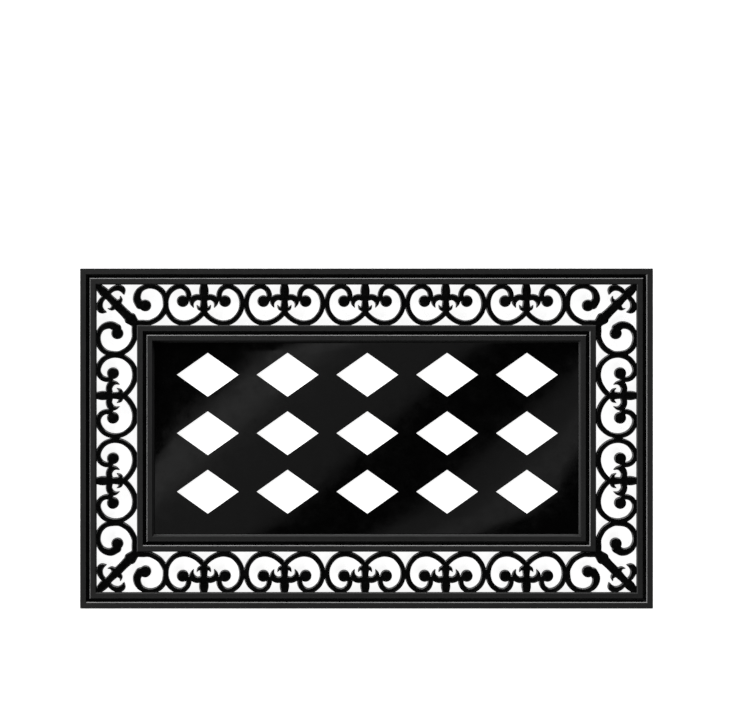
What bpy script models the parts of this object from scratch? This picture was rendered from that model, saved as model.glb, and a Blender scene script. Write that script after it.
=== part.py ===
"""Moulded rubber door mat with an open scrollwork border and a recessed panel.

The frame's origin is the middle of the mat on the floor: +X along the long side,
+Y towards the back and +Z up. Sizes are in millimetres until a mesh is made.

The real mat is one moulding. Each moulded region is a body of its own here, with a
narrow gap to its neighbours: two grooved rails, the recessed panel between them and
the scrollwork, one unit for each fleur-de-lis.
"""

import math

import bmesh
import bpy
from mathutils import Matrix, Vector
from mathutils.geometry import delaunay_2d_cdt

# Overall size
MAT_LENGTH = 762.0
MAT_WIDTH = 452.5
MAT_HEIGHT = 11.0
GAP = 0.3

# Outer rail: a flat strip, a groove with chamfered edges and a second flat strip
OUTER_RAIL_WIDTH = 21.4
OUTER_STRIP = 7.7
OUTER_GROOVE = 6.1
GROOVE_DEPTH = 3.0
GROOVE_SLOPE = 1.5
GROOVE_CHAMFER_WIDTH = 1.1
GROOVE_CHAMFER_DROP = 0.92
EDGE_BEVEL = 0.6

# Scroll band, lower than the rails, whose edges beside it are chamfered down to it
BAND_WIDTH = 54.2
SCROLL_TOP = 10.2
BAND_CHAMFER_WIDTH = 1.2
BAND_CHAMFER_DROP = MAT_HEIGHT - SCROLL_TOP

# Inner rail, which slopes down to the panel on its inner side
INNER_RAIL_WIDTH = 22.9
INNER_STRIP = 7.7
INNER_GROOVE = 6.2
RECESS_WALL_SLOPE = 2.6

# Shallow channel under each rail
CHANNEL_MARGIN = 5.0
CHANNEL_DEPTH = 1.5

# Panel, its lattice of diamond holes and the grip studs under it
PANEL_TOP = 5.0
PANEL_UNDERSIDE = 1.5
DIAMOND_COLUMNS = 5
DIAMOND_ROWS = 3
DIAMOND_LENGTH = 82.0
DIAMOND_WIDTH = 58.2
DIAMOND_PITCH_X = 106.3
DIAMOND_PITCH_Y = 77.9
LATTICE_CENTRE = (1.1, 6.9)
STUD_RADIUS = 4.0
STUD_SIDES = 12
STUD_ROW_MARGIN = 9.0

# Repeats of the scrollwork along the long and the short sides, the middle of each
# row and where its ends join the corner units
LONG_UNITS = 5
LONG_PITCH = 107.3
LONG_MIDDLE = -2.0
LONG_ENDS = (-268.2, 266.4)
SHORT_UNITS = 2
SHORT_PITCH = 113.4
SHORT_MIDDLE = 0.5
SHORT_ENDS = (-112.7, 112.7)

# One scroll unit, drawn about the middle of the band with +v towards the outer rail.
# A stroke is a smooth line through points (u, v, half width); all but the bud are
# mirrored about u = 0.
RING = (
    (0.0, -9.5, 3.6), (7.0, -16.5, 3.6), (16.0, -22.0, 3.7), (27.0, -24.3, 3.9),
    (39.0, -20.5, 3.6), (48.0, -10.0, 3.5), (50.8, 3.0, 3.6), (47.5, 15.0, 3.6),
    (40.0, 22.5, 3.6), (31.0, 25.0, 3.6), (23.5, 21.0, 3.6), (20.3, 14.0, 3.7),
    (21.5, 8.0, 3.5),
)
BALL = ((28.1, 5.1, 7.9),)
PETAL = ((2.0, 9.0, 4.0), (9.0, 10.5, 4.2), (14.8, 7.5, 4.3), (16.0, 2.0, 2.6), (14.0, -3.2, 0.6))
HOOK = ((2.0, -6.0, 3.0), (6.5, -4.5, 2.4), (9.2, -0.2, 0.4))
BUD = (
    (0.0, 30.0, 3.0), (0.0, 25.0, 5.0), (0.0, 19.3, 6.3), (0.0, 13.0, 5.8),
    (0.0, 6.0, 4.6), (0.0, 0.0, 5.0), (0.0, -6.0, 5.6), (0.0, -10.0, 3.0),
)

# A corner unit, drawn from the corner of the opening with u and v along its two
# sides. All but the bud are mirrored about the diagonal.
CORNER_RING = (
    (47.0, 43.0, 5.5), (53.0, 50.5, 4.5), (62.0, 50.6, 3.8), (72.0, 50.2, 3.7),
    (84.0, 43.5, 3.7), (91.0, 33.0, 3.8), (92.2, 25.0, 3.8), (90.0, 13.0, 3.8),
    (82.0, 4.5, 3.7), (70.0, 2.0, 3.4), (60.0, 5.5, 3.7), (55.0, 12.0, 4.6),
    (54.0, 20.0, 5.4), (58.0, 27.0, 6.0),
)
CORNER_BALL = ((64.9, 27.8, 7.9),)
CORNER_PETAL = (
    (17.0, 10.0, 3.0), (22.0, 6.0, 3.4), (29.0, 4.0, 4.3), (34.5, 6.5, 4.0), (36.5, 12.5, 1.0),
)
CORNER_HOOK = ((29.0, 24.0, 4.0), (32.5, 20.0, 2.2), (32.0, 15.5, 0.6))
CORNER_BUD = (
    (-2.0, -2.0, 3.0), (4.0, 4.0, 5.0), (10.0, 10.0, 6.5), (14.0, 14.0, 5.2),
    (19.0, 19.0, 5.0), (27.0, 27.0, 6.0), (36.0, 36.0, 6.0), (43.0, 43.0, 6.5),
    (47.0, 47.0, 5.0),
)

# How finely strokes are drawn
STROKE_STEP = 7.0
CAP_STEPS = 4
DISC_SIDES = 16
WELD = 0.05

HALF_LENGTH = MAT_LENGTH / 2
HALF_WIDTH = MAT_WIDTH / 2
OPENING_X = HALF_LENGTH - OUTER_RAIL_WIDTH
OPENING_Y = HALF_WIDTH - OUTER_RAIL_WIDTH
INNER_X = OPENING_X - BAND_WIDTH
INNER_Y = OPENING_Y - BAND_WIDTH
PANEL_X = INNER_X - INNER_RAIL_WIDTH - GAP
PANEL_Y = INNER_Y - INNER_RAIL_WIDTH - GAP


def clear_scene():
    for obj in list(bpy.data.objects):
        bpy.data.objects.remove(obj, do_unlink=True)


def rubber(name, shade, roughness):
    """A black rubber whose shade is its linear grey value."""
    material = bpy.data.materials.new(name)
    material.use_nodes = True
    shader = material.node_tree.nodes["Principled BSDF"]
    shader.inputs["Base Color"].default_value = (shade, shade, shade * 1.02, 1.0)
    shader.inputs["Roughness"].default_value = roughness
    shader.inputs["Metallic"].default_value = 0.0
    return material


def finish_object(name, bm, material, location=(0.0, 0.0, 0.0), turn=0.0):
    """Turn a mesh drawn in millimetres into an object in metres."""
    bmesh.ops.recalc_face_normals(bm, faces=bm.faces[:])
    bmesh.ops.scale(bm, vec=Vector((0.001, 0.001, 0.001)), verts=bm.verts[:])
    mesh = bpy.data.meshes.new(name)
    bm.to_mesh(mesh)
    bm.free()
    mesh.materials.append(material)
    obj = bpy.data.objects.new(name, mesh)
    obj.location = Vector(location) * 0.001
    obj.rotation_euler = (0.0, 0.0, turn)
    bpy.context.scene.collection.objects.link(obj)
    return obj


# ---------------------------------------------------------------- rails

def groove_points(start, width):
    """Top of a rail across its groove, as (inset, z)."""
    end = start + width
    floor = MAT_HEIGHT - GROOVE_DEPTH
    shoulder = MAT_HEIGHT - GROOVE_CHAMFER_DROP
    return [
        (start, MAT_HEIGHT),
        (start + GROOVE_CHAMFER_WIDTH, shoulder),
        (start + GROOVE_SLOPE, floor),
        (end - GROOVE_SLOPE, floor),
        (end - GROOVE_CHAMFER_WIDTH, shoulder),
        (end, MAT_HEIGHT),
    ]


def underside_points(width):
    """Underside of a rail from its inner to its outer edge, as (inset, z)."""
    return [
        (width, 0.0),
        (width - CHANNEL_MARGIN, 0.0),
        (width - CHANNEL_MARGIN - CHANNEL_DEPTH, CHANNEL_DEPTH),
        (CHANNEL_MARGIN + CHANNEL_DEPTH, CHANNEL_DEPTH),
        (CHANNEL_MARGIN, 0.0),
        (0.0, 0.0),
    ]


def outer_rail_profile():
    points = [(0.0, MAT_HEIGHT - EDGE_BEVEL), (EDGE_BEVEL, MAT_HEIGHT)]
    points += groove_points(OUTER_STRIP, OUTER_GROOVE)
    points += [
        (OUTER_RAIL_WIDTH - BAND_CHAMFER_WIDTH, MAT_HEIGHT),
        (OUTER_RAIL_WIDTH, MAT_HEIGHT - BAND_CHAMFER_DROP),
    ]
    return points + underside_points(OUTER_RAIL_WIDTH)


def inner_rail_profile():
    points = [(0.0, MAT_HEIGHT - BAND_CHAMFER_DROP), (BAND_CHAMFER_WIDTH, MAT_HEIGHT)]
    points += groove_points(INNER_STRIP, INNER_GROOVE)
    points += [
        (INNER_RAIL_WIDTH - RECESS_WALL_SLOPE, MAT_HEIGHT),
        (INNER_RAIL_WIDTH, PANEL_TOP),
    ]
    return points + underside_points(INNER_RAIL_WIDTH)


def add_rail(name, half_x, half_y, profile, material):
    """Sweep a profile round a rectangle, with mitred corners."""
    bm = bmesh.new()
    rows = []
    for sign_x, sign_y in ((1, 1), (-1, 1), (-1, -1), (1, -1)):
        rows.append([
            bm.verts.new((sign_x * (half_x - inset), sign_y * (half_y - inset), z))
            for inset, z in profile
        ])
    count = len(profile)
    for corner, row in enumerate(rows):
        following = rows[(corner + 1) % len(rows)]
        for i in range(count):
            j = (i + 1) % count
            bm.faces.new((row[i], row[j], following[j], following[i]))
    return finish_object(name, bm, material)


# ---------------------------------------------------------------- scrollwork

def smooth_line(knots):
    """Catmull-Rom line through knots of (u, v, half width)."""
    points = [Vector(knot) for knot in knots]
    points.insert(0, 2 * points[0] - points[1])
    points.append(2 * points[-1] - points[-2])
    line = []
    for a, b, c, d in zip(points, points[1:], points[2:], points[3:]):
        steps = max(1, round((c - b).xy.length / STROKE_STEP))
        for step in range(steps):
            t = step / steps
            line.append(0.5 * (
                2 * b + (c - a) * t
                + (2 * a - 5 * b + 4 * c - d) * t ** 2
                + (3 * b - a - 3 * c + d) * t ** 3
            ))
    line.append(points[-2])
    return line


def disc_outline(centre, radius):
    step = math.tau / DISC_SIDES
    return [
        centre + radius * Vector((math.cos(i * step), math.sin(i * step)))
        for i in range(DISC_SIDES)
    ]


def stroke_outline(knots):
    """Closed outline of a stroke with round ends."""
    if len(knots) == 1:
        u, v, radius = knots[0]
        return disc_outline(Vector((u, v)), radius)
    line = smooth_line(knots)
    left = []
    right = []
    for i, point in enumerate(line):
        along = (line[min(i + 1, len(line) - 1)] - line[max(i - 1, 0)]).xy.normalized()
        across = Vector((-along.y, along.x)) * point.z
        left.append(point.xy + across)
        right.append(point.xy - across)
    end_cap = cap_points(line[-1], line[-1] - line[-2])
    start_cap = cap_points(line[0], line[0] - line[1])
    return left + end_cap + right[::-1] + start_cap


def cap_points(end, outward):
    """Half circle round a stroke's end, from its left side to its right."""
    heading = math.atan2(outward.y, outward.x)
    points = []
    for step in range(1, CAP_STEPS):
        angle = heading + math.pi / 2 - math.pi * step / CAP_STEPS
        points.append(end.xy + end.z * Vector((math.cos(angle), math.sin(angle))))
    return points


def inside(point, outline):
    """True where the outline winds round the point."""
    winding = 0
    for a, b in zip(outline, outline[1:] + outline[:1]):
        side = (b - a).cross(point - a)
        if a.y <= point.y < b.y and side > 0:
            winding += 1
        elif b.y <= point.y < a.y and side < 0:
            winding -= 1
    return winding != 0


def triangulate(outlines):
    """Triangles over the plane that keep every outline's edges."""
    points = []
    edges = []
    for outline in outlines:
        first = len(points)
        count = len(outline)
        points += outline
        edges += [(first + i, first + (i + 1) % count) for i in range(count)]
    points, _, faces = delaunay_2d_cdt(points, edges, [], 0, WELD, False)[:3]
    return points, faces


def keep_faces(points, faces, is_solid):
    kept = []
    for face in faces:
        centre = sum((points[i] for i in face), Vector((0.0, 0.0))) / len(face)
        if is_solid(centre):
            kept.append(tuple(face))
    return kept


def border_edges(faces):
    """Directed edges that only one face uses."""
    directed = {(a, b) for face in faces for a, b in zip(face, face[1:] + face[:1])}
    return [(a, b) for a, b in directed if (b, a) not in directed]


def flat_union(outlines, window):
    """Points and triangles of the union of outlines, cut to a window outline."""
    def is_solid(point):
        return inside(point, window) and any(inside(point, outline) for outline in outlines)

    points, faces = triangulate(outlines + [window])
    edges = sorted(border_edges(keep_faces(points, faces, is_solid)))
    used = sorted({index for edge in edges for index in edge})
    rank = {index: i for i, index in enumerate(used)}
    border = [points[index] for index in used]
    links = [(rank[a], rank[b]) for a, b in edges]
    points, _, faces = delaunay_2d_cdt(border, links, [], 0, 0.0, False)[:3]
    return points, keep_faces(points, faces, is_solid)


def plate(points, faces, bottom, top):
    """Solid plate between two heights over a flat mesh."""
    bm = bmesh.new()
    low = [bm.verts.new((p.x, p.y, bottom)) for p in points]
    high = [bm.verts.new((p.x, p.y, top)) for p in points]
    for face in faces:
        bm.faces.new([high[i] for i in face])
        bm.faces.new([low[i] for i in reversed(face)])
    for a, b in border_edges(faces):
        bm.faces.new((low[a], low[b], high[b], high[a]))
    loose = [vert for vert in bm.verts if not vert.link_faces]
    bmesh.ops.delete(bm, geom=loose, context="VERTS")
    return bm


def rectangle(low_u, low_v, high_u, high_v):
    corners = ((low_u, low_v), (high_u, low_v), (high_u, high_v), (low_u, high_v))
    return [Vector(corner) for corner in corners]


def scroll_mesh(stretch, low_u, high_u):
    """One unit of a straight band, stretched along u and cut at both joints."""
    outlines = [stroke_outline(BUD)]
    for knots in (RING, BALL, PETAL, HOOK):
        for side in (stretch, -stretch):
            outlines.append(stroke_outline([(side * u, v, half) for u, v, half in knots]))
    edge_v = BAND_WIDTH / 2 - GAP
    return flat_union(outlines, rectangle(low_u, -edge_v, high_u, edge_v))


def corner_window(reach_u, reach_v):
    """L-shaped outline of a corner unit, clear of both rails and both bands."""
    near = GAP
    far = BAND_WIDTH - GAP
    corners = ((near, near), (reach_u, near), (reach_u, far), (far, far), (far, reach_v), (near, reach_v))
    return [Vector(corner) for corner in corners]


def corner_mesh(reach_u, reach_v):
    outlines = [stroke_outline(CORNER_BUD)]
    for knots in (CORNER_RING, CORNER_BALL, CORNER_PETAL, CORNER_HOOK):
        mirrored = [(v, u, half) for u, v, half in knots]
        outlines.append(stroke_outline(knots))
        outlines.append(stroke_outline(mirrored))
    return flat_union(outlines, corner_window(reach_u, reach_v))


def centred_steps(count, pitch, middle=0.0):
    return [middle + (i - (count - 1) / 2) * pitch for i in range(count)]


def add_scroll_band(side, centres, ends, across, turn, material):
    """Units of one straight band, numbered from -X or from -Y."""
    pitch = centres[1] - centres[0]
    joints = [ends[0]] + [centre + pitch / 2 for centre in centres[:-1]] + [ends[1]]
    along_x = side in ("back", "front")
    for i, centre in enumerate(centres):
        low = joints[i] + GAP / 2 - centre
        high = joints[i + 1] - GAP / 2 - centre
        if side in ("front", "right"):
            low, high = -high, -low
        points, faces = scroll_mesh(pitch / LONG_PITCH, low, high)
        bm = plate(points, faces, 0.0, SCROLL_TOP)
        location = (centre, across, 0.0) if along_x else (across, centre, 0.0)
        finish_object(f"scroll_{side}_{i + 1}", bm, material, location, turn)


def add_scrollwork(material):
    band_x = OPENING_X - BAND_WIDTH / 2
    band_y = OPENING_Y - BAND_WIDTH / 2
    columns = centred_steps(LONG_UNITS, LONG_PITCH, LONG_MIDDLE)
    rows = centred_steps(SHORT_UNITS, SHORT_PITCH, SHORT_MIDDLE)
    add_scroll_band("back", columns, LONG_ENDS, band_y, 0.0, material)
    add_scroll_band("front", columns, LONG_ENDS, -band_y, math.pi, material)
    add_scroll_band("left", rows, SHORT_ENDS, -band_x, math.pi / 2, material)
    add_scroll_band("right", rows, SHORT_ENDS, band_x, -math.pi / 2, material)


def add_corners(material):
    for name_x, sign_x, end_x in (("left", -1, LONG_ENDS[0]), ("right", 1, LONG_ENDS[1])):
        for name_y, sign_y, end_y in (("front", -1, SHORT_ENDS[0]), ("back", 1, SHORT_ENDS[1])):
            reach_u = OPENING_X - sign_x * end_x - GAP / 2
            reach_v = OPENING_Y - sign_y * end_y - GAP / 2
            points, faces = corner_mesh(reach_u, reach_v)
            bm = plate(points, faces, 0.0, SCROLL_TOP)
            inward = Matrix.Diagonal((-sign_x, -sign_y, 1.0, 1.0))
            bmesh.ops.transform(bm, matrix=inward, verts=bm.verts[:])
            location = (sign_x * OPENING_X, sign_y * OPENING_Y, 0.0)
            finish_object(f"corner_{name_y}_{name_x}", bm, material, location)


# ---------------------------------------------------------------- panel

def add_prism(bm, outline, bottom, top):
    low = [bm.verts.new((p.x, p.y, bottom)) for p in outline]
    high = [bm.verts.new((p.x, p.y, top)) for p in outline]
    bm.faces.new(low[::-1])
    bm.faces.new(high)
    for i in range(len(outline)):
        j = (i + 1) % len(outline)
        bm.faces.new((low[i], low[j], high[j], high[i]))


def diamond_cutter(material):
    """All the diamond holes as one hidden cutter."""
    bm = bmesh.new()
    for x in centred_steps(DIAMOND_COLUMNS, DIAMOND_PITCH_X, LATTICE_CENTRE[0]):
        for y in centred_steps(DIAMOND_ROWS, DIAMOND_PITCH_Y, LATTICE_CENTRE[1]):
            tips = (
                (x + DIAMOND_LENGTH / 2, y), (x, y + DIAMOND_WIDTH / 2),
                (x - DIAMOND_LENGTH / 2, y), (x, y - DIAMOND_WIDTH / 2),
            )
            add_prism(bm, [Vector(tip) for tip in tips], -1.0, PANEL_TOP + 1.0)
    return finish_object("diamond_cutter", bm, material)


def stud_rows():
    """Two rows on the lattice's crossings and one along each long side."""
    crossings = centred_steps(DIAMOND_ROWS - 1, DIAMOND_PITCH_Y, LATTICE_CENTRE[1])
    border = PANEL_Y - STUD_ROW_MARGIN
    return crossings + [-border, border]


def grip_studs(material):
    """All the grip studs as one hidden tool, let into the panel's underside."""
    bm = bmesh.new()
    step = math.tau / STUD_SIDES
    for x in centred_steps(DIAMOND_COLUMNS + 1, DIAMOND_PITCH_X, LATTICE_CENTRE[0]):
        for y in stud_rows():
            outline = [
                Vector((x + STUD_RADIUS * math.cos(i * step), y + STUD_RADIUS * math.sin(i * step)))
                for i in range(STUD_SIDES)
            ]
            add_prism(bm, outline, 0.0, PANEL_UNDERSIDE + 1.0)
    return finish_object("grip_studs", bm, material)


def apply_tool(target, tool, operation):
    """Combine a body with a hidden tool by an exact Boolean."""
    tool.hide_render = True
    tool.display_type = "WIRE"
    modifier = target.modifiers.new(tool.name, "BOOLEAN")
    modifier.operation = operation
    modifier.solver = "EXACT"
    modifier.object = tool


def add_panel(material):
    bm = bmesh.new()
    add_prism(bm, rectangle(-PANEL_X, -PANEL_Y, PANEL_X, PANEL_Y), PANEL_UNDERSIDE, PANEL_TOP)
    panel = finish_object("tray_panel", bm, material)
    apply_tool(panel, diamond_cutter(material), "DIFFERENCE")
    apply_tool(panel, grip_studs(material), "UNION")
    return panel


def main():
    clear_scene()
    rail_rubber = rubber("rail_rubber", 0.020, 0.60)
    scroll_rubber = rubber("scroll_rubber", 0.008, 0.55)
    panel_rubber = rubber("panel_rubber", 0.006, 0.35)
    add_rail("outer_rail", HALF_LENGTH, HALF_WIDTH, outer_rail_profile(), rail_rubber)
    add_rail("inner_rail", INNER_X, INNER_Y, inner_rail_profile(), rail_rubber)
    add_scrollwork(scroll_rubber)
    add_corners(scroll_rubber)
    add_panel(panel_rubber)


main()
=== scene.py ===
"""Final look of the moulded rubber door mat.

Every CAD node is replaced by a finely modelled piece of the same region: rails with
filleted grooves, scrollwork with rounded shoulders, and a panel with softened holes and
grip studs. Lengths are in millimetres until a mesh is made. Materials, lights and the
camera are in metres.
"""

import math

import bmesh
import bpy
import numpy as np
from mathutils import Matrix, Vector
from mathutils.geometry import delaunay_2d_cdt
from mathutils.kdtree import KDTree


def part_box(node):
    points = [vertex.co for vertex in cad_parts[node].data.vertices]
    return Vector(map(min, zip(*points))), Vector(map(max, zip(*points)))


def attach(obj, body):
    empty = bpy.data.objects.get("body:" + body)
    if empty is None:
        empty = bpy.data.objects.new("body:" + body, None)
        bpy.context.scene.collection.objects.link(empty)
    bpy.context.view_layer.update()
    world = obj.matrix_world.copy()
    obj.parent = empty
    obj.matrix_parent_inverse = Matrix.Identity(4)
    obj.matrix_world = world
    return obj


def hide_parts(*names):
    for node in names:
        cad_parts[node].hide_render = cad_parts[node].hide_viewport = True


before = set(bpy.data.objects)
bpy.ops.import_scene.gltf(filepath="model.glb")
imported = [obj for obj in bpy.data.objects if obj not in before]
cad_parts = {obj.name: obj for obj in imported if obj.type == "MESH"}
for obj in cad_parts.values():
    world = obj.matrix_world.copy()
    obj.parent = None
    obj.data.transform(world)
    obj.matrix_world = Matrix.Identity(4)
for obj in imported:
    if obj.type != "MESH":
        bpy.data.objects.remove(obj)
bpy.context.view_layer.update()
BODY = "root"
METRES_PER_MM = 0.001


# ---------------------------------------------------------------- sizes from the frame

def node_box(node):
    """Low and high corner of a node's box, in millimetres."""
    low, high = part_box(node)
    return np.array(low) * 1000.0, np.array(high) * 1000.0


OUTER_HIGH = node_box("outer_rail")[1]
INNER_HIGH = node_box("inner_rail")[1]
PANEL_HIGH = node_box("tray_panel")[1]
SCROLL_TOP = node_box("scroll_back_3")[1][2]
MAT_TOP = OUTER_HIGH[2]
PANEL_TOP = PANEL_HIGH[2]

GAP = 0.3
BAND_WIDTH = 54.2
OUTER_RAIL_WIDTH = OUTER_HIGH[0] - INNER_HIGH[0] - BAND_WIDTH
OPENING_X = OUTER_HIGH[0] - OUTER_RAIL_WIDTH
OPENING_Y = OUTER_HIGH[1] - OUTER_RAIL_WIDTH
INNER_RAIL_WIDTH = INNER_HIGH[0] - PANEL_HIGH[0] - GAP

# Rail sections: widths across the rail, and chamfers as (across, down)
OUTER_STRIP = 7.7
OUTER_GROOVE = 6.1
INNER_STRIP = 7.7
INNER_GROOVE = 6.2
GROOVE_DEPTH = 3.0
GROOVE_CHAMFER = (1.1, 0.92)
GROOVE_SLOPE = 1.5
BAND_CHAMFER = (1.2, 0.8)
RECESS_WALL_SLOPE = 2.6
RECESS_FOOT = (1.4, 1.5)
CHANNEL_MARGIN = 5.0
CHANNEL_DEPTH = 1.5
STRIP_DEPTH = 0.1

# Fillet radii of the rails, the arc's steps, and a short flat next to each arc
OUTER_EDGE_RADIUS = 0.35
STRIP_RADIUS = 0.2
GROOVE_FLOOR_RADIUS = 0.3
RECESS_EDGE_RADIUS = 0.3
RECESS_FOOT_RADIUS = 0.8
RECESS_SEAM_RADIUS = 0.1
UNDERSIDE_RADIUS = 0.4
FILLET_STEPS = 5
FILLET_GUARD = 0.12

# Angle between faces above which an edge is shaded sharp
RAIL_SHARP_DEGREES = 35.0
SCROLL_SHARP_DEGREES = 40.0
PANEL_SHARP_DEGREES = 30.0

# Diamond lattice and grip studs of the panel
DIAMOND_COLUMNS = 5
DIAMOND_ROWS = 3
DIAMOND_HALF = (41.0, 29.1)
DIAMOND_PITCH = (106.3, 77.9)
LATTICE_CENTRE = (1.1, 6.9)
PANEL_UNDERSIDE = 1.5
STUD_RADIUS = 4.0
STUD_ROW_MARGIN = 9.0
STUD_SIDES = 32

# Scrollwork rows: number of units, pitch and middle along the long and the short sides
LONG_UNITS = 5
LONG_PITCH = 107.3
LONG_MIDDLE = -2.0
SHORT_UNITS = 2
SHORT_PITCH = 113.4
SHORT_MIDDLE = 0.5

# Strokes of a straight unit about its middle, as knots of (u, v, half width)
RING = (
    (0.0, -9.5, 3.6), (7.0, -16.5, 3.6), (16.0, -22.0, 3.7), (27.0, -24.3, 3.9),
    (39.0, -20.5, 3.6), (48.0, -10.0, 3.5), (50.8, 3.0, 3.6), (47.5, 15.0, 3.6),
    (40.0, 22.5, 3.6), (31.0, 25.0, 3.6), (23.5, 21.0, 3.6), (20.3, 14.0, 3.7),
    (21.5, 8.0, 3.5),
)
BALL = ((28.1, 5.1, 7.9),)
PETAL = ((2.0, 9.0, 4.0), (9.0, 10.5, 4.2), (14.8, 7.5, 4.3), (16.0, 2.0, 2.6), (14.0, -3.2, 0.6))
HOOK = ((2.0, -6.0, 3.0), (6.5, -4.5, 2.4), (9.2, -0.2, 0.4))
BUD = (
    (0.0, 30.0, 3.0), (0.0, 25.0, 5.0), (0.0, 19.3, 6.3), (0.0, 13.0, 5.8),
    (0.0, 6.0, 4.6), (0.0, 0.0, 5.0), (0.0, -6.0, 5.6), (0.0, -10.0, 3.0),
)

# Strokes of a corner unit from the corner of the rail's opening
CORNER_RING = (
    (47.0, 43.0, 5.5), (53.0, 50.5, 4.5), (62.0, 50.6, 3.8), (72.0, 50.2, 3.7),
    (84.0, 43.5, 3.7), (91.0, 33.0, 3.8), (92.2, 25.0, 3.8), (90.0, 13.0, 3.8),
    (82.0, 4.5, 3.7), (70.0, 2.0, 3.4), (60.0, 5.5, 3.7), (55.0, 12.0, 4.6),
    (54.0, 20.0, 5.4), (58.0, 27.0, 6.0),
)
CORNER_BALL = ((64.9, 27.8, 7.9),)
CORNER_PETAL = (
    (17.0, 10.0, 3.0), (22.0, 6.0, 3.4), (29.0, 4.0, 4.3), (34.5, 6.5, 4.0), (36.5, 12.5, 1.0),
)
CORNER_HOOK = ((29.0, 24.0, 4.0), (32.5, 20.0, 2.2), (32.0, 15.5, 0.6))
CORNER_BUD = (
    (-2.0, -2.0, 3.0), (4.0, 4.0, 5.0), (10.0, 10.0, 6.5), (14.0, 14.0, 5.2),
    (19.0, 19.0, 5.0), (27.0, 27.0, 6.0), (36.0, 36.0, 6.0), (43.0, 43.0, 6.5),
    (47.0, 47.0, 5.0),
)
STROKE_STEP = 1.5
THINNEST_HALF = 0.05

# Shoulder of the scrollwork: how far in and down it rounds, and where its rings lie
SHOULDER_WIDTH = 1.9
SHOULDER_DROP = 1.5
SHOULDER_LEVELS = (1e-4, 0.35, 0.75, 1.15, 1.55, 1.9)

# Grid that the scrollwork's outline is read from, and how closely the outline keeps to it
GRID_STEP = 0.5
GRID_MARGIN = 3.0
FAR_OUTSIDE = -1000.0
OUTLINE_TOLERANCE = 0.015
OUTLINE_STEP = 2.0
MERGE_DISTANCE = 0.02
NEAR_SEGMENTS = 3
TINY = 1e-12


# ---------------------------------------------------------------- mesh helpers

def make_piece(name, bm, materials, nodes, sharp_degrees):
    """Turn a mesh drawn in millimetres into a piece that replaces CAD nodes."""
    bmesh.ops.scale(bm, vec=Vector((METRES_PER_MM,) * 3), verts=bm.verts[:])
    mesh = bpy.data.meshes.new(name)
    bm.to_mesh(mesh)
    bm.free()
    for material in materials:
        mesh.materials.append(material)
    mesh.shade_smooth()
    mesh.set_sharp_from_angle(angle=math.radians(sharp_degrees))
    obj = bpy.data.objects.new(name, mesh)
    bpy.context.scene.collection.objects.link(obj)
    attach(obj, BODY)
    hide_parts(*nodes)
    return obj


def centred_steps(count, pitch, middle):
    """Evenly spaced places about a middle."""
    return [middle + (i - (count - 1) / 2) * pitch for i in range(count)]


def border_edges(faces):
    """Directed edges that only one face uses."""
    directed = {(a, b) for face in faces for a, b in zip(face, face[1:] + face[:1])}
    return sorted((a, b) for a, b in directed if (b, a) not in directed)


def triangulate(points, edges, merge=0.0):
    """Points and triangles over the plane that keep the given edges."""
    found = delaunay_2d_cdt([Vector(p) for p in points], edges, [], 0, merge, False)
    return found[0], [tuple(face) for face in found[2]]


# ---------------------------------------------------------------- rails

def filleted(corners):
    """Closed section with its corners rounded. A corner is (inset, z, radius, part)."""
    section = []
    count = len(corners)
    for i, (x, z, radius, part) in enumerate(corners):
        here = Vector((x, z))
        if radius == 0.0:
            section.append((here, part))
            continue
        before = (Vector(corners[i - 1][:2]) - here).normalized()
        after = (Vector(corners[(i + 1) % count][:2]) - here).normalized()
        half = before.angle(after) / 2
        reach = radius / math.tan(half)
        middle = here + (before + after).normalized() * radius / math.sin(half)
        start = here + before * reach
        end = here + after * reach
        section.append((start + before * FILLET_GUARD, part))
        a = math.atan2(*(start - middle).yx)
        turn = math.atan2(*(end - middle).yx) - a
        turn = (turn + math.pi) % math.tau - math.pi
        for step in range(FILLET_STEPS + 1):
            angle = a + turn * step / FILLET_STEPS
            section.append((middle + radius * Vector((math.cos(angle), math.sin(angle))), part))
        section.append((end + after * FILLET_GUARD, part))
    return section


# Parts of a rail's section, which are also the slots of its two materials
STRIP, GROOVE = 0, 1


def groove_corners(start, width):
    """A groove with sloping sides and chamfered lips."""
    floor = MAT_TOP - GROOVE_DEPTH
    across, down = GROOVE_CHAMFER
    return [
        (start, MAT_TOP, STRIP_RADIUS, GROOVE),
        (start + across, MAT_TOP - down, STRIP_RADIUS, GROOVE),
        (start + GROOVE_SLOPE, floor, GROOVE_FLOOR_RADIUS, GROOVE),
        (start + width - GROOVE_SLOPE, floor, GROOVE_FLOOR_RADIUS, GROOVE),
        (start + width - across, MAT_TOP - down, STRIP_RADIUS, GROOVE),
        (start + width, MAT_TOP, STRIP_RADIUS, GROOVE),
    ]


def underside_corners(width):
    """The underside, from the rail's inner foot to its outer foot, with one channel."""
    places = (
        (width, 0.0),
        (width - CHANNEL_MARGIN, 0.0),
        (width - CHANNEL_MARGIN - CHANNEL_DEPTH, CHANNEL_DEPTH),
        (CHANNEL_MARGIN + CHANNEL_DEPTH, CHANNEL_DEPTH),
        (CHANNEL_MARGIN, 0.0),
        (0.0, 0.0),
    )
    return [(across, z, UNDERSIDE_RADIUS, STRIP) for across, z in places]


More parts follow.
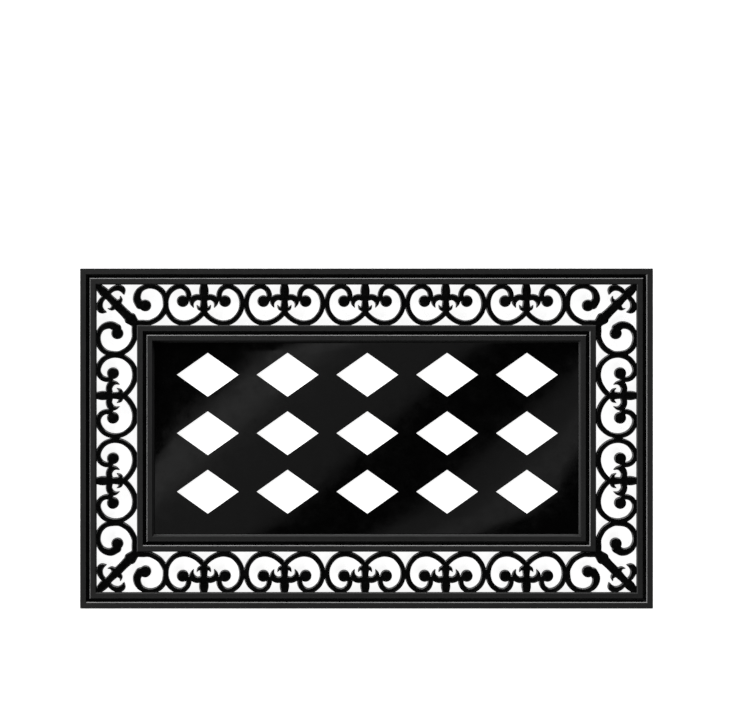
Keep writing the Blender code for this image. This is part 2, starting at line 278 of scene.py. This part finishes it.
def add_rail(name, node, half_x, half_y, corners, materials):
    """Sweep a filleted section round a rectangle, with mitred corners."""
    section = filleted(corners)
    bm = bmesh.new()
    rows = []
    for sign_x, sign_y in ((1, 1), (-1, 1), (-1, -1), (1, -1)):
        rows.append([
            bm.verts.new((sign_x * (half_x - p.x), sign_y * (half_y - p.x), p.y))
            for p, _ in section
        ])
    count = len(section)
    for corner, row in enumerate(rows):
        following = rows[(corner + 1) % len(rows)]
        for i in range(count):
            j = (i + 1) % count
            face = bm.faces.new((row[i], row[j], following[j], following[i]))
            in_groove = section[i][1] == GROOVE and section[j][1] == GROOVE
            below_strip = min(section[i][0].y, section[j][0].y) < MAT_TOP - STRIP_DEPTH
            face.material_index = GROOVE if in_groove and below_strip else STRIP
    bmesh.ops.recalc_face_normals(bm, faces=bm.faces[:])
    return make_piece(name, bm, materials, [node], RAIL_SHARP_DEGREES)


def outer_rail_corners():
    """The outer rail's section, from its outer top edge."""
    across, down = BAND_CHAMFER
    width = OUTER_RAIL_WIDTH
    corners = [(0.0, MAT_TOP, OUTER_EDGE_RADIUS, STRIP)]
    corners += groove_corners(OUTER_STRIP, OUTER_GROOVE)
    corners += [
        (width - across, MAT_TOP, STRIP_RADIUS, STRIP),
        (width, MAT_TOP - down, STRIP_RADIUS, STRIP),
    ]
    return corners + underside_corners(width)


def inner_rail_corners():
    """The inner rail's section, from the scroll band to the wall of the recess."""
    across, down = BAND_CHAMFER
    foot_across, foot_up = RECESS_FOOT
    width = INNER_RAIL_WIDTH
    corners = [
        (0.0, MAT_TOP - down, STRIP_RADIUS, STRIP),
        (across, MAT_TOP, STRIP_RADIUS, STRIP),
    ]
    corners += groove_corners(INNER_STRIP, INNER_GROOVE)
    corners += [
        (width - RECESS_WALL_SLOPE, MAT_TOP, RECESS_EDGE_RADIUS, STRIP),
        (width - foot_across, PANEL_TOP + foot_up, RECESS_FOOT_RADIUS, STRIP),
        (width, PANEL_TOP, RECESS_SEAM_RADIUS, STRIP),
    ]
    return corners + underside_corners(width)


def add_rails(strip_rubber, smooth_rubber):
    rails = (
        ("outer_rail", OUTER_HIGH, outer_rail_corners()),
        ("inner_rail", INNER_HIGH, inner_rail_corners()),
    )
    for node, high, corners in rails:
        materials = (strip_rubber, smooth_rubber)
        add_rail(f"{node}_moulding", node, high[0], high[1], corners, materials)


# ---------------------------------------------------------------- scrollwork

def smooth_line(knots):
    """Catmull-Rom line through knots of (u, v, half width), as an array."""
    points = np.array(knots, dtype=float)
    if len(points) == 1:
        return np.vstack([points, points])
    points = np.vstack([2 * points[0] - points[1], points, 2 * points[-1] - points[-2]])
    line = []
    for a, b, c, d in zip(points, points[1:], points[2:], points[3:]):
        steps = max(1, round(np.hypot(*(c - b)[:2]) / STROKE_STEP))
        t = (np.arange(steps) / steps)[:, None]
        line.append(0.5 * (
            2 * b + (c - a) * t + (2 * a - 5 * b + 4 * c - d) * t ** 2
            + (3 * b - a - 3 * c + d) * t ** 3
        ))
    return np.vstack(line + [points[-2:-1]])


def unit_strokes(stretch):
    """Strokes of a straight unit about the middle of its band."""
    strokes = [smooth_line(BUD)]
    for knots in (RING, BALL, PETAL, HOOK):
        for side in (stretch, -stretch):
            strokes.append(smooth_line([(side * u, v, half) for u, v, half in knots]))
    return strokes


def corner_strokes():
    """Strokes of a corner unit from the opening's corner."""
    strokes = [smooth_line(CORNER_BUD)]
    for knots in (CORNER_RING, CORNER_BALL, CORNER_PETAL, CORNER_HOOK):
        strokes.append(smooth_line(knots))
        strokes.append(smooth_line([(v, u, half) for u, v, half in knots]))
    return strokes


def placed(strokes, origin, u_axis, v_axis):
    """Strokes drawn with u and v along two axes of the mat's frame."""
    axes = np.array((u_axis, v_axis), dtype=float)
    return [np.c_[stroke[:, :2] @ axes + np.array(origin), stroke[:, 2]] for stroke in strokes]


def all_strokes():
    """Every stroke of the scrollwork, in the mat's frame."""
    band_x = OPENING_X - BAND_WIDTH / 2
    band_y = OPENING_Y - BAND_WIDTH / 2
    strokes = []
    long_unit = unit_strokes(1.0)
    for x in centred_steps(LONG_UNITS, LONG_PITCH, LONG_MIDDLE):
        strokes += placed(long_unit, (x, band_y), (1, 0), (0, 1))
        strokes += placed(long_unit, (x, -band_y), (1, 0), (0, -1))
    short_unit = unit_strokes(SHORT_PITCH / LONG_PITCH)
    for y in centred_steps(SHORT_UNITS, SHORT_PITCH, SHORT_MIDDLE):
        strokes += placed(short_unit, (band_x, y), (0, 1), (1, 0))
        strokes += placed(short_unit, (-band_x, y), (0, 1), (-1, 0))
    corner = corner_strokes()
    for sx in (-1, 1):
        for sy in (-1, 1):
            strokes += placed(corner, (sx * OPENING_X, sy * OPENING_Y), (-sx, 0), (0, -sy))
    return strokes


def stroke_field(xs, ys, strokes):
    """How deep each grid point lies inside the strokes, negative outside them."""
    grid_x, grid_y = np.meshgrid(xs, ys)
    depth = np.full(grid_x.shape, FAR_OUTSIDE)
    for stroke in strokes:
        reach = stroke[:, 2].max() + GRID_MARGIN
        low = stroke[:, :2].min(axis=0) - reach
        high = stroke[:, :2].max(axis=0) + reach
        cols = slice(*np.searchsorted(xs, (low[0], high[0])))
        rows = slice(*np.searchsorted(ys, (low[1], high[1])))
        px, py = grid_x[rows, cols], grid_y[rows, cols]
        if px.size == 0:
            continue
        best = depth[rows, cols]
        for a, b in zip(stroke[:-1], stroke[1:]):
            step = b - a
            length = max(step[0] ** 2 + step[1] ** 2, TINY)
            t = np.clip(((px - a[0]) * step[0] + (py - a[1]) * step[1]) / length, 0.0, 1.0)
            away = np.hypot(px - a[0] - t * step[0], py - a[1] - t * step[1])
            half = np.maximum(a[2] + t * step[2], THINNEST_HALF)
            best = np.maximum(best, half - away)
        depth[rows, cols] = best
    return depth


def contour_lines(field, xs, ys, level):
    """Polylines where a grid field crosses a level, as arrays of points."""
    above = field > level
    mixed = above[:-1, :-1].astype(int) + above[:-1, 1:] + above[1:, :-1] + above[1:, 1:]
    links = {}
    spots = {}

    def crossing(row, col, down):
        key = (row, col, down)
        if key not in spots:
            row_2, col_2 = (row + 1, col) if down else (row, col + 1)
            a, b = field[row, col], field[row_2, col_2]
            t = (level - a) / (b - a)
            spots[key] = (
                xs[col] + t * (xs[col_2] - xs[col]), ys[row] + t * (ys[row_2] - ys[row]),
            )
        return key

    def link(a, b):
        links.setdefault(a, []).append(b)
        links.setdefault(b, []).append(a)

    for row, col in zip(*np.nonzero((mixed > 0) & (mixed < 4))):
        row, col = int(row), int(col)
        corners = [above[row + i, col + j] for i, j in ((0, 0), (0, 1), (1, 1), (1, 0))]
        sides = [(row, col, False), (row, col + 1, True), (row + 1, col, False), (row, col, True)]
        cut = [crossing(*sides[i]) for i in range(4) if corners[i] != corners[(i + 1) % 4]]
        if len(cut) == 2:
            link(cut[0], cut[1])
            continue
        middle = field[row:row + 2, col:col + 2].mean() > level
        first = 1 if middle == corners[0] else 3
        link(cut[0], cut[first])
        link(cut[2], cut[4 - first])
    lines = []
    while links:
        start = next((key for key, near in links.items() if len(near) == 1), next(iter(links)))
        line = [start]
        while links.get(line[-1]):
            here = line[-1]
            following = links[here].pop()
            links[following].remove(here)
            if not links[here]:
                del links[here]
            line.append(following)
        links.pop(line[-1], None)
        lines.append(np.array([spots[key] for key in line]))
    return lines


def simplified(line):
    """The line with points left out where it stays nearly straight."""
    kept = [0]
    last = len(line) - 1
    while kept[-1] < last:
        start = kept[-1]
        end = start + 1
        while end < last:
            chord = line[end + 1] - line[start]
            length = math.hypot(*chord)
            if length > OUTLINE_STEP or length == 0.0:
                break
            between = line[start + 1:end + 1] - line[start]
            off = np.abs(between[:, 0] * chord[1] - between[:, 1] * chord[0]) / length
            if off.max() > OUTLINE_TOLERANCE:
                break
            end += 1
        kept.append(end)
    return line[kept]


def true_depth(depth, xs, ys):
    """Distance from each inside point to the outline of the whole union."""
    outline = contour_lines(depth, xs, ys, 0.0)
    count = sum(len(line) - 1 for line in outline)
    tree = KDTree(count)
    starts, ends = [], []
    for line in outline:
        starts.append(line[:-1])
        ends.append(line[1:])
    starts, ends = np.vstack(starts), np.vstack(ends)
    for i, point in enumerate((starts + ends) / 2):
        tree.insert((point[0], point[1], 0.0), i)
    tree.balance()
    result = depth.copy()
    for row, col in zip(*np.nonzero(depth > 0)):
        point = np.array((xs[col], ys[row]))
        near = [found[1] for found in tree.find_n((point[0], point[1], 0.0), NEAR_SEGMENTS)]
        a, step = starts[near], ends[near] - starts[near]
        length = np.maximum((step ** 2).sum(axis=1), TINY)
        t = np.clip(((point - a) * step).sum(axis=1) / length, 0.0, 1.0)
        gap = a + step * t[:, None] - point
        result[row, col] = np.sqrt((gap ** 2).sum(axis=1).min())
    return result


def sampled(field, xs, ys, points):
    """Bilinear value of a grid field at points."""
    col = np.clip((points[:, 0] - xs[0]) / GRID_STEP, 0, len(xs) - 1.001)
    row = np.clip((points[:, 1] - ys[0]) / GRID_STEP, 0, len(ys) - 1.001)
    i, j = row.astype(int), col.astype(int)
    s, t = row - i, col - j
    near = field[i, j] * (1 - t) + field[i, j + 1] * t
    far = field[i + 1, j] * (1 - t) + field[i + 1, j + 1] * t
    return near * (1 - s) + far * s


def scroll_windows():
    """Each scroll node's own cut from the band, as (node, low, high) rectangles."""
    windows = {}
    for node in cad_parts:
        if not node.startswith(("scroll_", "corner_")):
            continue
        low, high = node_box(node)
        windows[node] = (low[:2], high[:2])
    return windows


def window_outline(node, low, high):
    """Outline that a scroll node is cut to, flush with its neighbours."""
    grow = GAP / 2
    x0, y0 = low - grow
    x1, y1 = high + grow
    if node.startswith(("scroll_back", "scroll_front")):
        y0, y1 = y0 - grow, y1 + grow
    if node.startswith(("scroll_left", "scroll_right")):
        x0, x1 = x0 - grow, x1 + grow
    if node.startswith("scroll_"):
        return np.array(((x0, y0), (x1, y0), (x1, y1), (x0, y1)))
    sx = 1 if high[0] > 0 else -1
    sy = 1 if high[1] > 0 else -1
    outer = np.array((sx * OPENING_X, sy * OPENING_Y))
    inner = outer - np.array((sx, sy)) * BAND_WIDTH
    end = np.array((x0 if sx > 0 else x1, y0 if sy > 0 else y1))
    outline = np.array((
        outer, (end[0], outer[1]), (end[0], inner[1]),
        inner, (inner[0], end[1]), (outer[0], end[1]),
    ))
    return outline if sx * sy > 0 else outline[::-1]


def inside_polygon(points, outline):
    """Which points lie inside a polygon, by counting crossings."""
    result = np.zeros(len(points), dtype=bool)
    for a, b in zip(outline, np.roll(outline, -1, axis=0)):
        if a[1] == b[1]:
            continue
        spans = (a[1] > points[:, 1]) != (b[1] > points[:, 1])
        cross = a[0] + (points[:, 1] - a[1]) * (b[0] - a[0]) / (b[1] - a[1])
        result ^= spans & (points[:, 0] < cross)
    return result


def scroll_height(depth):
    """Height of the scrollwork's top at a distance in from its outline."""
    t = np.clip(1.0 - depth / SHOULDER_WIDTH, 0.0, 1.0)
    return SCROLL_TOP - SHOULDER_DROP * t ** 2


def add_scroll(node, low, high, strokes, material):
    """One scroll unit with rounded shoulders, cut flush with its neighbours."""
    outline = window_outline(node, low, high)
    start = outline.min(axis=0) - GRID_MARGIN
    stop = outline.max(axis=0) + GRID_MARGIN
    xs = np.arange(start[0], stop[0] + GRID_STEP, GRID_STEP)
    ys = np.arange(start[1], stop[1] + GRID_STEP, GRID_STEP)
    depth = stroke_field(xs, ys, strokes)
    depth = true_depth(depth, xs, ys)

    points = [tuple(corner) for corner in outline]
    edges = [(i, (i + 1) % len(points)) for i in range(len(points))]
    for level in SHOULDER_LEVELS:
        for line in contour_lines(depth, xs, ys, level):
            line = simplified(line)
            closed = np.allclose(line[0], line[-1])
            line = line[:-1] if closed else line
            first = len(points)
            points += [tuple(point) for point in line]
            edges += [(first + i, first + i + 1) for i in range(len(line) - 1)]
            if closed:
                edges.append((first + len(line) - 1, first))

    def solid_faces(points, faces):
        flat = np.array([tuple(p) for p in points])
        centres = flat[np.array(faces)].mean(axis=1)
        keep = inside_polygon(centres, outline) & (sampled(depth, xs, ys, centres) > 0.0)
        return [face for face, kept in zip(faces, keep) if kept]

    points, faces = triangulate(points, edges, MERGE_DISTANCE)
    faces = solid_faces(points, faces)
    borders = border_edges(faces)
    flat = np.array([tuple(p) for p in points])
    heights = scroll_height(sampled(depth, xs, ys, flat))

    bm = bmesh.new()
    top = {}
    for index in sorted({i for face in faces for i in face}):
        top[index] = bm.verts.new((flat[index][0], flat[index][1], heights[index]))
    foot = {}
    for index in sorted({i for edge in borders for i in edge}):
        foot[index] = bm.verts.new((flat[index][0], flat[index][1], 0.0))
    for face in faces:
        bm.faces.new([top[i] for i in face])
    for a, b in borders:
        bm.faces.new((foot[a], foot[b], top[b], top[a]))
    order = sorted(foot)
    rank = {index: i for i, index in enumerate(order)}
    base_points = [tuple(flat[i]) for i in order]
    found, base_faces = triangulate(base_points, [(rank[a], rank[b]) for a, b in borders])
    for face in solid_faces(found, base_faces):
        bm.faces.new([foot[order[i]] for i in reversed(face)])
    return make_piece(
        f"{node}_moulding", bm, [material], [node], SCROLL_SHARP_DEGREES,
    )


def add_scrollwork(material):
    strokes = all_strokes()
    for node, (low, high) in scroll_windows().items():
        add_scroll(node, low, high, strokes, material)


# ---------------------------------------------------------------- panel

def diamond_loop(centre, grow):
    """Diamond whose sides are moved outwards by a distance."""
    a, b = DIAMOND_HALF
    side = math.hypot(a, b)
    reach_x = a + grow * side / b
    reach_y = b + grow * side / a
    x, y = centre
    return [(x + reach_x, y), (x, y + reach_y), (x - reach_x, y), (x, y - reach_y)]


def circle_loop(centre, radius):
    """Round outline of a stud."""
    step = math.tau / STUD_SIDES
    return [
        (centre[0] + radius * math.cos(i * step), centre[1] + radius * math.sin(i * step))
        for i in range(STUD_SIDES)
    ]


def sheet_with_loops(bm, rim, loops):
    """Flat faces inside a rim with holes inside loops. All are lists of vertices."""
    verts = list(rim)
    edges = [(i, (i + 1) % len(rim)) for i in range(len(rim))]
    for loop in loops:
        first = len(verts)
        verts += loop
        edges += [(first + i, first + (i + 1) % len(loop)) for i in range(len(loop))]
    points = [(vert.co.x, vert.co.y) for vert in verts]
    holes = [np.array([(vert.co.x, vert.co.y) for vert in loop]) for loop in loops]
    found, faces = triangulate(points, edges)
    flat = np.array([tuple(p) for p in found])
    centres = flat[np.array(faces)].mean(axis=1)
    solid = np.ones(len(centres), dtype=bool)
    for hole in holes:
        solid &= ~inside_polygon(centres, hole)
    for face, kept in zip(faces, solid):
        if kept:
            bm.faces.new([verts[i] for i in face])


def ring_of(bm, loop, z):
    """Vertices along a loop at one height."""
    return [bm.verts.new((x, y, z)) for x, y in loop]


def bridge(bm, first, second):
    """Faces between two closed rings of as many vertices."""
    count = len(first)
    for i in range(count):
        j = (i + 1) % count
        bm.faces.new((first[i], first[j], second[j], second[i]))


def stud_centres():
    """Middles of the studs, between the diamonds and along the long edges."""
    rows = centred_steps(DIAMOND_ROWS - 1, DIAMOND_PITCH[1], LATTICE_CENTRE[1])
    border = PANEL_HIGH[1] - STUD_ROW_MARGIN
    columns = centred_steps(DIAMOND_COLUMNS + 1, DIAMOND_PITCH[0], LATTICE_CENTRE[0])
    return [(x, y) for x in columns for y in rows + [-border, border]]


# Softened edge of a hole, as (how far out, how far down)
HOLE_EDGE = ((0.75, 0.0), (0.62, 0.0), (0.40, 0.06), (0.22, 0.20), (0.10, 0.42), (0.06, 0.70))
# Rounded rim of the panel, as (how far in, how far down)
RIM_EDGE = ((1.0, 0.0), (0.7, 0.02), (0.35, 0.14), (0.12, 0.35), (0.0, 0.65))
# A stud from the panel down, as (radius, z)
STUD_PROFILE = (
    (STUD_RADIUS + 0.2, PANEL_UNDERSIDE), (STUD_RADIUS, PANEL_UNDERSIDE - 0.25),
    (STUD_RADIUS, 0.5), (STUD_RADIUS - 0.15, 0.18), (STUD_RADIUS - 0.5, 0.0),
)


def rectangle_loop(inset):
    """Outline of the panel, moved inwards from the rail round it."""
    x = PANEL_HIGH[0] + GAP - inset
    y = PANEL_HIGH[1] + GAP - inset
    return [(x, y), (-x, y), (-x, -y), (x, -y)]


def add_panel(material):
    """The panel: a rounded rim, diamond holes with soft edges, and studs below."""
    bm = bmesh.new()
    rims = [ring_of(bm, rectangle_loop(inset), PANEL_TOP - down) for inset, down in RIM_EDGE]
    rims.append(ring_of(bm, rectangle_loop(0.0), PANEL_UNDERSIDE))
    for upper, lower in zip(rims, rims[1:]):
        bridge(bm, upper, lower)
    top_loops, low_loops = [], []
    for x in centred_steps(DIAMOND_COLUMNS, DIAMOND_PITCH[0], LATTICE_CENTRE[0]):
        for y in centred_steps(DIAMOND_ROWS, DIAMOND_PITCH[1], LATTICE_CENTRE[1]):
            loops = [
                ring_of(bm, diamond_loop((x, y), out), PANEL_TOP - down) for out, down in HOLE_EDGE
            ]
            loops.append(ring_of(bm, diamond_loop((x, y), 0.0), PANEL_UNDERSIDE))
            for upper, lower in zip(loops, loops[1:]):
                bridge(bm, upper, lower)
            top_loops.append(loops[0])
            low_loops.append(loops[-1])
    for centre in stud_centres():
        loops = [ring_of(bm, circle_loop(centre, radius), z) for radius, z in STUD_PROFILE]
        for upper, lower in zip(loops, loops[1:]):
            bridge(bm, upper, lower)
        bm.faces.new(loops[-1])
        low_loops.append(loops[0])
    sheet_with_loops(bm, rims[0], top_loops)
    sheet_with_loops(bm, rims[-1], low_loops)
    bmesh.ops.recalc_face_normals(bm, faces=bm.faces[:])
    return make_piece(
        "tray_panel_moulding", bm, [material], ["tray_panel"],
        PANEL_SHARP_DEGREES,
    )


# ---------------------------------------------------------------- materials

# Places of the factor, the two colours and the result on a colour mix node
MIX_COLOUR_INPUTS = (0, 6, 7)
MIX_COLOUR_OUTPUT = 2


class Nodes:
    """Short way to write a node tree."""

    def __init__(self, material):
        material.use_nodes = True
        self.tree = material.node_tree
        self.shader = self.tree.nodes["Principled BSDF"]
        self.place = self.add("ShaderNodeTexCoord").outputs["Object"]

    def add(self, kind, **settings):
        node = self.tree.nodes.new(kind)
        for key, value in settings.items():
            setattr(node, key, value)
        return node

    def link(self, output, socket):
        self.tree.links.new(output, socket)

    def noise(self, scale, detail, roughness, distortion=0.0):
        """Noise whose scale is in features per metre."""
        node = self.add("ShaderNodeTexNoise")
        self.link(self.place, node.inputs["Vector"])
        node.inputs["Scale"].default_value = scale
        node.inputs["Detail"].default_value = detail
        node.inputs["Roughness"].default_value = roughness
        node.inputs["Distortion"].default_value = distortion
        return node.outputs["Fac"]

    def pebbles(self, scale):
        """Distance to the middles of cells whose number is per metre."""
        node = self.add("ShaderNodeTexVoronoi", feature="F1")
        self.link(self.place, node.inputs["Vector"])
        node.inputs["Scale"].default_value = scale
        return node.outputs["Distance"]

    def ramp(self, value, stops):
        """Ramp of greys with (position, grey) stops."""
        node = self.add("ShaderNodeValToRGB")
        self.link(value, node.inputs["Fac"])
        elements = node.color_ramp.elements
        while len(elements) < len(stops):
            elements.new(0.5)
        for element, (position, grey) in zip(elements, stops):
            element.position = position
            element.color = (grey, grey, grey, 1.0)
        return node.outputs["Color"]

    def mix(self, factor, first, second):
        """Mix of two colours by an output. A colour is an output or three numbers."""
        node = self.add("ShaderNodeMix", data_type="RGBA")
        for key, value in zip(MIX_COLOUR_INPUTS, (factor, first, second)):
            if isinstance(value, tuple):
                node.inputs[key].default_value = (*value, 1.0)
            else:
                self.link(value, node.inputs[key])
        return node.outputs[MIX_COLOUR_OUTPUT]

    def span(self, value, low, high, from_low=0.0, from_high=1.0):
        """Value moved from one range to another."""
        node = self.add("ShaderNodeMapRange")
        self.link(value, node.inputs["Value"])
        for name, number in (
            ("From Min", from_low), ("From Max", from_high), ("To Min", low), ("To Max", high),
        ):
            node.inputs[name].default_value = number
        return node.outputs["Result"]

    def bump(self, height, depth, strength, normal=None):
        """Bump whose depth is in metres."""
        node = self.add("ShaderNodeBump")
        self.link(height, node.inputs["Height"])
        node.inputs["Strength"].default_value = strength
        node.inputs["Distance"].default_value = depth
        if normal is not None:
            self.link(normal, node.inputs["Normal"])
        return node.outputs["Normal"]

    def set(self, name, value):
        """Set a socket of the shader to a number, a colour or an output."""
        socket = self.shader.inputs[name]
        if isinstance(value, bpy.types.NodeSocket):
            self.link(value, socket)
        else:
            socket.default_value = value


# Noise of the rubbers, in features per metre
CLOUD_SCALE = 14.0
FLECK_SCALE = 520.0
DUST_SCALE = 900.0
MOTTLE_SCALE = 60.0
GRAIN_SCALE = 2600.0
PIT_SCALE = 1400.0
WAVE_SCALE = 9.0

# Relief of the rubbers: depths in metres, and the pits' strength beside the grain's
GRAIN_DEPTH = 0.00006
PIT_DEPTH = 0.00005
WAVE_DEPTH = 0.0006
PIT_SHARE = 0.6

DUST_COLOUR = (0.050, 0.048, 0.045)
DUST_COVER = 0.05
ROUGHNESS_BELOW = 0.06
ROUGHNESS_ABOVE = 0.08


def rubber(name, dark, light, fleck, roughness, grain, specular, waviness):
    """Black moulded rubber: clouds, flecks, a faint dust, fine grain and slow waves."""
    material = bpy.data.materials.new(name)
    n = Nodes(material)
    clouds = n.noise(CLOUD_SCALE, detail=4.0, roughness=0.6, distortion=0.4)
    clouded = n.ramp(clouds, ((0.32, dark), (0.72, light)))
    speckle = n.noise(FLECK_SCALE, detail=2.0, roughness=0.65)
    flecks = n.ramp(speckle, ((0.46, 0.0), (0.66, 1.0)))
    shade = n.mix(flecks, clouded, (light + fleck,) * 3)
    powder = n.noise(DUST_SCALE, detail=2.0, roughness=0.7)
    dust = n.ramp(powder, ((0.68, 0.0), (0.80, 1.0)))
    n.set("Base Color", n.mix(n.span(dust, 0.0, DUST_COVER), shade, DUST_COLOUR))
    mottled = n.noise(MOTTLE_SCALE, detail=4.0, roughness=0.65)
    smoothest = roughness - ROUGHNESS_BELOW
    roughest = roughness + ROUGHNESS_ABOVE
    n.set("Roughness", n.span(mottled, smoothest, roughest, from_low=0.25, from_high=0.75))
    n.set("Specular IOR Level", specular)
    fine = n.bump(n.noise(GRAIN_SCALE, detail=2.0, roughness=0.6), GRAIN_DEPTH, grain)
    pits = n.bump(n.pebbles(PIT_SCALE), PIT_DEPTH, grain * PIT_SHARE, fine)
    waves = n.bump(n.noise(WAVE_SCALE, detail=1.0, roughness=0.4), WAVE_DEPTH, waviness, pits)
    n.set("Normal", waves)
    return material


# ---------------------------------------------------------------- stage, lights and camera

FLOOR_REACH = 6.0
FLOOR_DROP = 0.0005
FLOOR_SHADE = 0.86
FLOOR_ROUGHNESS = 0.9
FLOOR_GLOW = 0.93


def add_floor():
    """Plain pale floor just below the mat, lit from within like a light table."""
    mesh = bpy.data.meshes.new("floor")
    signs = ((-1, -1), (1, -1), (1, 1), (-1, 1))
    corners = [(x * FLOOR_REACH, y * FLOOR_REACH, 0.0) for x, y in signs]
    mesh.from_pydata(corners, [], [(0, 1, 2, 3)])
    material = bpy.data.materials.new("pale_floor")
    n = Nodes(material)
    n.set("Base Color", (FLOOR_SHADE, FLOOR_SHADE, FLOOR_SHADE, 1.0))
    n.set("Roughness", FLOOR_ROUGHNESS)
    n.set("Specular IOR Level", 0.0)
    n.set("Emission Color", (1.0, 1.0, 1.0, 1.0))
    n.set("Emission Strength", FLOOR_GLOW)
    mesh.materials.append(material)
    floor = bpy.data.objects.new("floor", mesh)
    bpy.context.scene.collection.objects.link(floor)
    floor.location.z = -FLOOR_DROP


def add_softbox(name, place, target, width, height, power):
    """Rectangular soft light, aimed at a point and not seen by the camera."""
    light = bpy.data.lights.new(name, "AREA")
    light.shape = "RECTANGLE"
    light.size = width
    light.size_y = height
    light.energy = power
    obj = bpy.data.objects.new(name, light)
    obj.location = Vector(place)
    aim = Vector(target) - Vector(place)
    obj.rotation_euler = aim.to_track_quat("-Z", "Y").to_euler()
    obj.visible_camera = False
    bpy.context.scene.collection.objects.link(obj)
    return obj


# Softboxes aimed at the mat: (name, place, width, height, watts), in metres
SOFTBOXES = (
    ("key_back", (-0.4, 4.4, 1.24), 7.2, 2.2, 450.0),
    ("key_left", (-4.6, 0.3, 1.26), 6.0, 2.2, 330.0),
    ("fill_front", (0.8, -1.8, 2.2), 2.4, 0.8, 8.0),
)

# Long soft strips above the mat, seen only as the panel's diagonal shine: (from, to,
# radiance), where from and to are metres across the strips
SHINE_HEIGHT = 0.5
SHINE_LENGTH = 1.3
SHINE_ANGLE = math.radians(42.0)
SHINE_STRIPS = (
    (-0.188, -0.130, 0.52), (-0.130, 0.016, 0.21), (0.145, 0.204, 0.20), (0.204, 0.258, 0.36),
)


def add_lights(panel):
    """Softboxes for the whole mat, and strips of light for the panel only."""
    for name, place, width, height, power in SOFTBOXES:
        add_softbox(name, place, (0.0, 0.0, 0.0), width, height, power)
    panel_only = bpy.data.collections.new("panel_only")
    panel_only.objects.link(panel)
    across = Vector((math.sin(SHINE_ANGLE), -math.cos(SHINE_ANGLE), 0.0))
    for i, (start, end, radiance) in enumerate(SHINE_STRIPS):
        place = across * (start + end) / 2
        place.z = SHINE_HEIGHT
        below = place - Vector((0.0, 0.0, 1.0))
        width = end - start
        power = radiance * math.pi * width * SHINE_LENGTH
        strip = add_softbox(f"shine_{i + 1}", place, below, SHINE_LENGTH, width, power)
        strip.rotation_euler = (0.0, 0.0, SHINE_ANGLE)
        strip.light_linking.receiver_collection = panel_only


WORLD_LIGHT = 0.008
WORLD_SEEN = 1.0


def add_world():
    """White surroundings that give the mat almost no light."""
    world = bpy.data.worlds.new("studio")
    world.use_nodes = True
    tree = world.node_tree
    background = tree.nodes["Background"]
    background.inputs["Color"].default_value = (1.0, 1.0, 1.0, 1.0)
    path = tree.nodes.new("ShaderNodeLightPath")
    strength = tree.nodes.new("ShaderNodeMapRange")
    tree.links.new(path.outputs["Is Camera Ray"], strength.inputs["Value"])
    strength.inputs["To Min"].default_value = WORLD_LIGHT
    strength.inputs["To Max"].default_value = WORLD_SEEN
    tree.links.new(strength.outputs["Result"], background.inputs["Strength"])
    bpy.context.scene.world = world


CAMERA_HEIGHT = 3.676
CAMERA_PLACE = (0.0013, 0.0991)
CAMERA_LENS = 135.0
CAMERA_SENSOR = 36.0
CAMERA_FAR = 50.0


def add_camera():
    """Long lens looking straight down."""
    data = bpy.data.cameras.new("camera")
    data.lens = CAMERA_LENS
    data.sensor_width = CAMERA_SENSOR
    data.clip_end = CAMERA_FAR
    camera = bpy.data.objects.new("camera", data)
    camera.location = (*CAMERA_PLACE, CAMERA_HEIGHT)
    bpy.context.scene.collection.objects.link(camera)
    bpy.context.scene.camera = camera


def main():
    strip_rubber = rubber(
        "strip_rubber", dark=0.0080, light=0.0105, fleck=0.0030,
        roughness=0.62, grain=0.55, specular=0.30, waviness=0.25,
    )
    smooth_rubber = rubber(
        "smooth_rubber", dark=0.0003, light=0.0006, fleck=0.0,
        roughness=0.27, grain=0.08, specular=0.50, waviness=0.25,
    )
    scroll_rubber = rubber(
        "scroll_rubber", dark=0.0002, light=0.0006, fleck=0.0028,
        roughness=0.25, grain=0.12, specular=0.40, waviness=0.25,
    )
    panel_rubber = rubber(
        "panel_rubber", dark=0.0002, light=0.0005, fleck=0.0008,
        roughness=0.12, grain=0.04, specular=0.50, waviness=0.04,
    )
    add_rails(strip_rubber, smooth_rubber)
    add_scrollwork(scroll_rubber)
    panel = add_panel(panel_rubber)
    add_floor()
    add_lights(panel)
    add_world()
    add_camera()
    bpy.context.scene.view_settings.view_transform = "Standard"


main()
